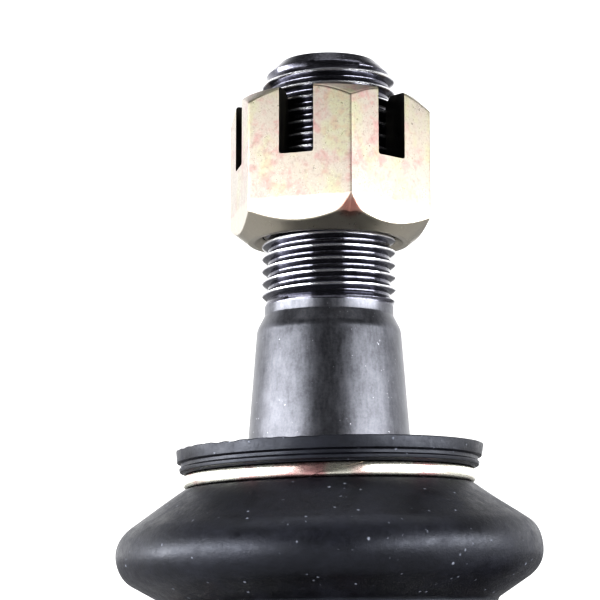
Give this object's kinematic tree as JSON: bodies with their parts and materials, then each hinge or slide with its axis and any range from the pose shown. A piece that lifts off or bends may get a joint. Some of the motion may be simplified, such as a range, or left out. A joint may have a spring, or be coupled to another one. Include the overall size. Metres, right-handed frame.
{
  "type": "tie rod end",
  "caption": "Tie rod end: tapered ball stud with slotted nut, turning and tilting in a sealed, greased socket on a threaded shank.",
  "frame": {"origin": "centre of the stud's ball, where the stud's axis crosses the tilt axis", "axes": "+Z along the stud towards its threaded end, +X along the shank towards its threaded end"},
  "size_m": [0.14, 0.05, 0.1122],
  "materials": {
    "forged_steel": "shot-blasted black forging",
    "bearing_polymer": "moulded acetal, off-white",
    "plain_steel": "plain pressed steel, oiled",
    "spring_steel": "blued spring steel",
    "zinc_plate": "yellow zinc on pressed steel",
    "seal_rubber": "smooth nitrile",
    "yellow_zinc": "yellow chromate zinc, mottled pink and green",
    "cap_plastic": "moulded soft plastic",
    "black_oxide": "satin black oxide, oiled",
    "boot_rubber": "matt black chloroprene with a soft sheen",
    "ring_zinc": "bright yellow zinc on spring wire"
  },
  "bodies": {
    "housing": {"socket_housing": "forged_steel", "upper_bearing": "bearing_polymer", "pressure_plate": "plain_steel", "preload_spring": "spring_steel", "closing_plate": "zinc_plate", "plug_seal": "seal_rubber", "grease_nipple": "yellow_zinc", "nipple_spring": "spring_steel", "lower_clip_ring": "ring_zinc"},
    "cup": {"lower_bearing": "bearing_polymer"},
    "collar": {"boot_collar": "plain_steel", "upper_clip_ring": "ring_zinc", "dust_boot": "boot_rubber"},
    "stud": {"ball_stud": "black_oxide"},
    "nut": {"castle_nut": "yellow_zinc"},
    "check_ball": {"nipple_ball": "plain_steel"},
    "cap": {"nipple_cap": "cap_plastic"}
  },
  "joints": [
    {"name": "bearing_turn", "type": "hinge", "parent": "housing", "child": "cup", "pos_m": [0, 0, 0], "axis": [0, 0, 1], "continuous": true},
    {"name": "stud_tilt", "type": "hinge", "parent": "cup", "child": "collar", "pos_m": [0, 0, 0], "axis": [0, 1, 0], "range_deg": [-22, 22], "deforming": ["dust_boot"]},
    {"name": "stud_spin", "type": "hinge", "parent": "collar", "child": "stud", "pos_m": [0, 0, 0], "axis": [0, 0, 1], "continuous": true},
    {"name": "nut_travel", "type": "slide", "parent": "stud", "child": "nut", "axis": [0, 0, 1], "range_m": [-0.0075, 0.0245]},
    {"name": "check_ball_travel", "type": "slide", "parent": "housing", "child": "check_ball", "axis": [0, 0, 1], "range_m": [0, 0.0008], "stiffness_N_per_m": 400, "springref_m": -0.001, "deforming": ["nipple_spring"]},
    {"name": "cap_pull", "type": "slide", "parent": "housing", "child": "cap", "axis": [0, 0, -1], "range_m": [0, 0.015]}
  ]
}
